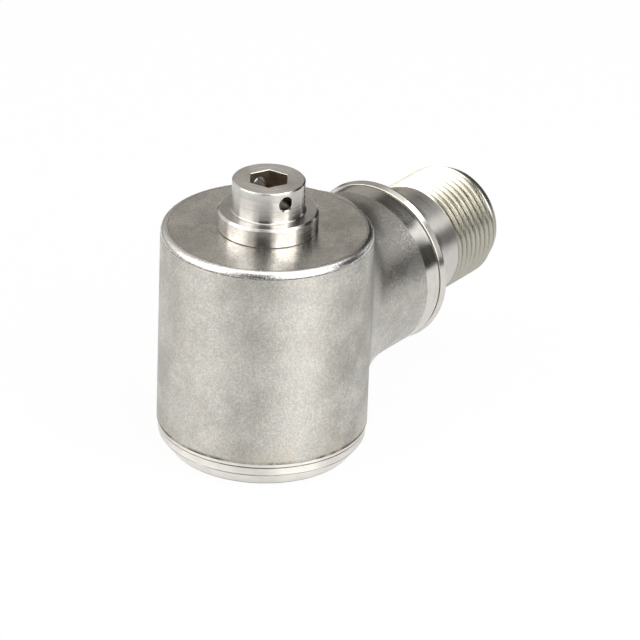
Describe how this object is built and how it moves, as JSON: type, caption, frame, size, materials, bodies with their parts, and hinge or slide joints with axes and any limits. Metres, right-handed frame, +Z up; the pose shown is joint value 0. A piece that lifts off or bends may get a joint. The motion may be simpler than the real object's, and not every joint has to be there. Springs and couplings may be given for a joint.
{
  "type": "vibration sensor",
  "caption": "Low-profile stainless vibration sensor with a round case, a threaded side connector and a captive mounting screw through its middle.",
  "frame": {"origin": "centre of the mounting face, on the axis of the captive screw", "axes": "+Z up along the screw, away from the mounting face; +X along the connector, towards its mouth"},
  "size_m": [0.0573, 0.028, 0.0447],
  "materials": {
    "cast_steel": "blasted satin stainless steel with a turned flat top",
    "base_steel": "turned stainless steel, bright",
    "screw_steel": "turned and polished stainless steel",
    "connector_steel": "turned stainless steel with a cut thread",
    "ring_rubber": "smooth black rubber",
    "seal_glass": "opaque dark seal glass",
    "gold_plate": "gold plated",
    "insulator": "matte, off-white",
    "ceramic": "fired ceramic, matte",
    "electrode_brass": "rolled strip",
    "heavy_metal": "turned heavy metal",
    "inner_steel": "turned and drawn steel",
    "board_green": "solder mask",
    "part_black": "moulded",
    "part_tan": "ceramic part",
    "lead_copper": "tinned copper"
  },
  "bodies": {
    "housing": {"case_body": "cast_steel", "base_plate": "base_steel", "connector_shell": "connector_steel", "glass_seal": "seal_glass", "contact_pin_a": "gold_plate", "contact_pin_b": "gold_plate", "insulating_sleeve": "insulator", "lower_insulator": "insulator", "lower_electrode": "electrode_brass", "lower_piezo_ring": "ceramic", "middle_electrode": "electrode_brass", "upper_piezo_ring": "ceramic", "upper_electrode": "electrode_brass", "upper_insulator": "insulator", "seismic_mass": "heavy_metal", "preload_washer": "inner_steel", "preload_nut": "inner_steel", "shield_seat": "insulator", "shield_can": "inner_steel", "board_spacer": "insulator", "circuit_board": "board_green", "amplifier_chip": "part_black", "coupling_capacitor": "part_tan", "bias_diode": "part_black", "feedback_resistor": "part_black", "signal_lead": "lead_copper", "return_lead": "lead_copper", "link_lead": "lead_copper", "pin_lead_a": "lead_copper", "pin_lead_b": "lead_copper"},
    "screw_ring": {"retaining_ring": "ring_rubber"},
    "mounting_screw": {"captive_screw": "screw_steel"}
  },
  "joints": [
    {"name": "screw_lift", "type": "slide", "parent": "housing", "child": "screw_ring", "axis": [0, 0, 1], "range_m": [0, 0.00635]},
    {"name": "screw_turn", "type": "hinge", "parent": "screw_ring", "child": "mounting_screw", "pos_m": [0, 0, 0], "axis": [0, 0, 1], "continuous": true}
  ]
}
